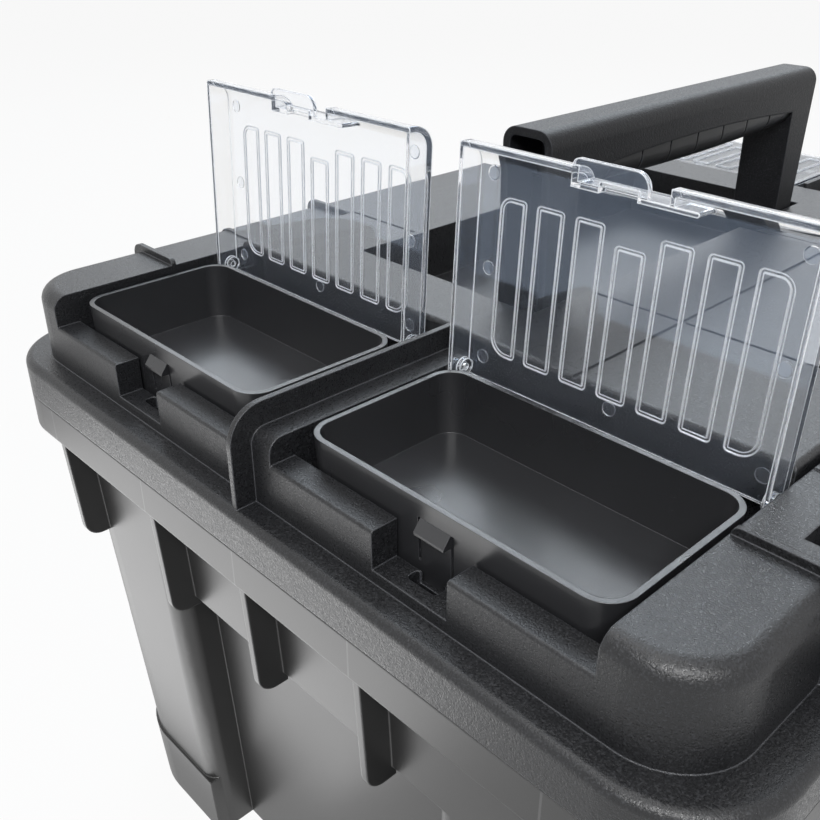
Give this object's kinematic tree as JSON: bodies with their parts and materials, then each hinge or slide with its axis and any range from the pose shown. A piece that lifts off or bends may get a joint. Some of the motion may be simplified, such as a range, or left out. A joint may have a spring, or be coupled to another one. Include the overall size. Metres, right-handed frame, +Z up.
{
  "type": "tool box",
  "caption": "Lidded plastic tool box with a ribbed bucket, small-parts trays under clear flip-up covers in the lid, a folding handle and front latches.",
  "frame": {"origin": "middle of the bucket's flat base, on the surface the box stands on", "axes": "+Z up, +X along the box to its right end seen from the latches, -Y towards the latches"},
  "size_m": [0.442, 0.3712, 0.3323],
  "materials": {
    "bucket_plastic": "smooth matte black moulded plastic",
    "lid_plastic": "black moulded plastic with a fine grain",
    "handle_plastic": "black moulded plastic with a fine grain",
    "grip_plastic": "soft black grip",
    "tray_plastic": "satin black moulded plastic",
    "latch_plastic": "satin black moulded plastic",
    "clear_plastic": "clear polished plastic",
    "steel": "bright drawn steel"
  },
  "bodies": {
    "bucket_body": {"bucket": "bucket_plastic", "hinge_pin_left": "steel", "hinge_pin_right": "steel"},
    "lid": {"lid_shell": "lid_plastic", "deck_panel": "lid_plastic", "deck_screws": "steel", "tray_left_back": "tray_plastic", "tray_left_front": "tray_plastic", "tray_right_back": "tray_plastic", "tray_right_front": "tray_plastic", "handle_pin_left": "handle_plastic", "handle_pin_right": "handle_plastic", "latch_pin_left": "steel", "latch_pin_right": "steel"},
    "handle": {"handle_shell": "handle_plastic", "handle_grip": "grip_plastic"},
    "organiser_cover_left_back": {"cover_left_back": "clear_plastic"},
    "organiser_cover_left_front": {"cover_left_front": "clear_plastic"},
    "organiser_cover_right_back": {"cover_right_back": "clear_plastic"},
    "organiser_cover_right_front": {"cover_right_front": "clear_plastic"},
    "front_latch_left": {"latch_left": "latch_plastic"},
    "front_latch_right": {"latch_right": "latch_plastic"}
  },
  "joints": [
    {"name": "lid_hinge", "type": "hinge", "parent": "bucket_body", "child": "lid", "pos_m": [0, 0.1725, 0.2169], "axis": [-1, 0, 0], "range_deg": [0, 105]},
    {"name": "handle_fold", "type": "hinge", "parent": "lid", "child": "handle", "pos_m": [0, 0, 0.252], "axis": [-1, 0, 0], "range_deg": [0, 90]},
    {"name": "cover_left_back_pivot", "type": "hinge", "parent": "lid", "child": "organiser_cover_left_back", "pos_m": [-0.1339, 0.0675, 0.2552], "axis": [0, 1, 0], "range_deg": [-92.5, 0]},
    {"name": "cover_left_front_pivot", "type": "hinge", "parent": "lid", "child": "organiser_cover_left_front", "pos_m": [-0.1339, -0.0675, 0.2552], "axis": [0, 1, 0], "range_deg": [-92.5, 0]},
    {"name": "cover_right_back_pivot", "type": "hinge", "parent": "lid", "child": "organiser_cover_right_back", "pos_m": [0.1339, 0.0675, 0.2552], "axis": [0, -1, 0], "range_deg": [0, 92.5]},
    {"name": "cover_right_front_pivot", "type": "hinge", "parent": "lid", "child": "organiser_cover_right_front", "pos_m": [0.1339, -0.0675, 0.2552], "axis": [0, -1, 0], "range_deg": [0, 92.5]},
    {"name": "latch_left_pivot", "type": "hinge", "parent": "lid", "child": "front_latch_left", "pos_m": [-0.1385, -0.145, 0.248], "axis": [-1, 0, 0], "range_deg": [-12, 78]},
    {"name": "latch_right_pivot", "type": "hinge", "parent": "lid", "child": "front_latch_right", "pos_m": [0.1385, -0.145, 0.248], "axis": [-1, 0, 0], "range_deg": [-12, 78]}
  ]
}
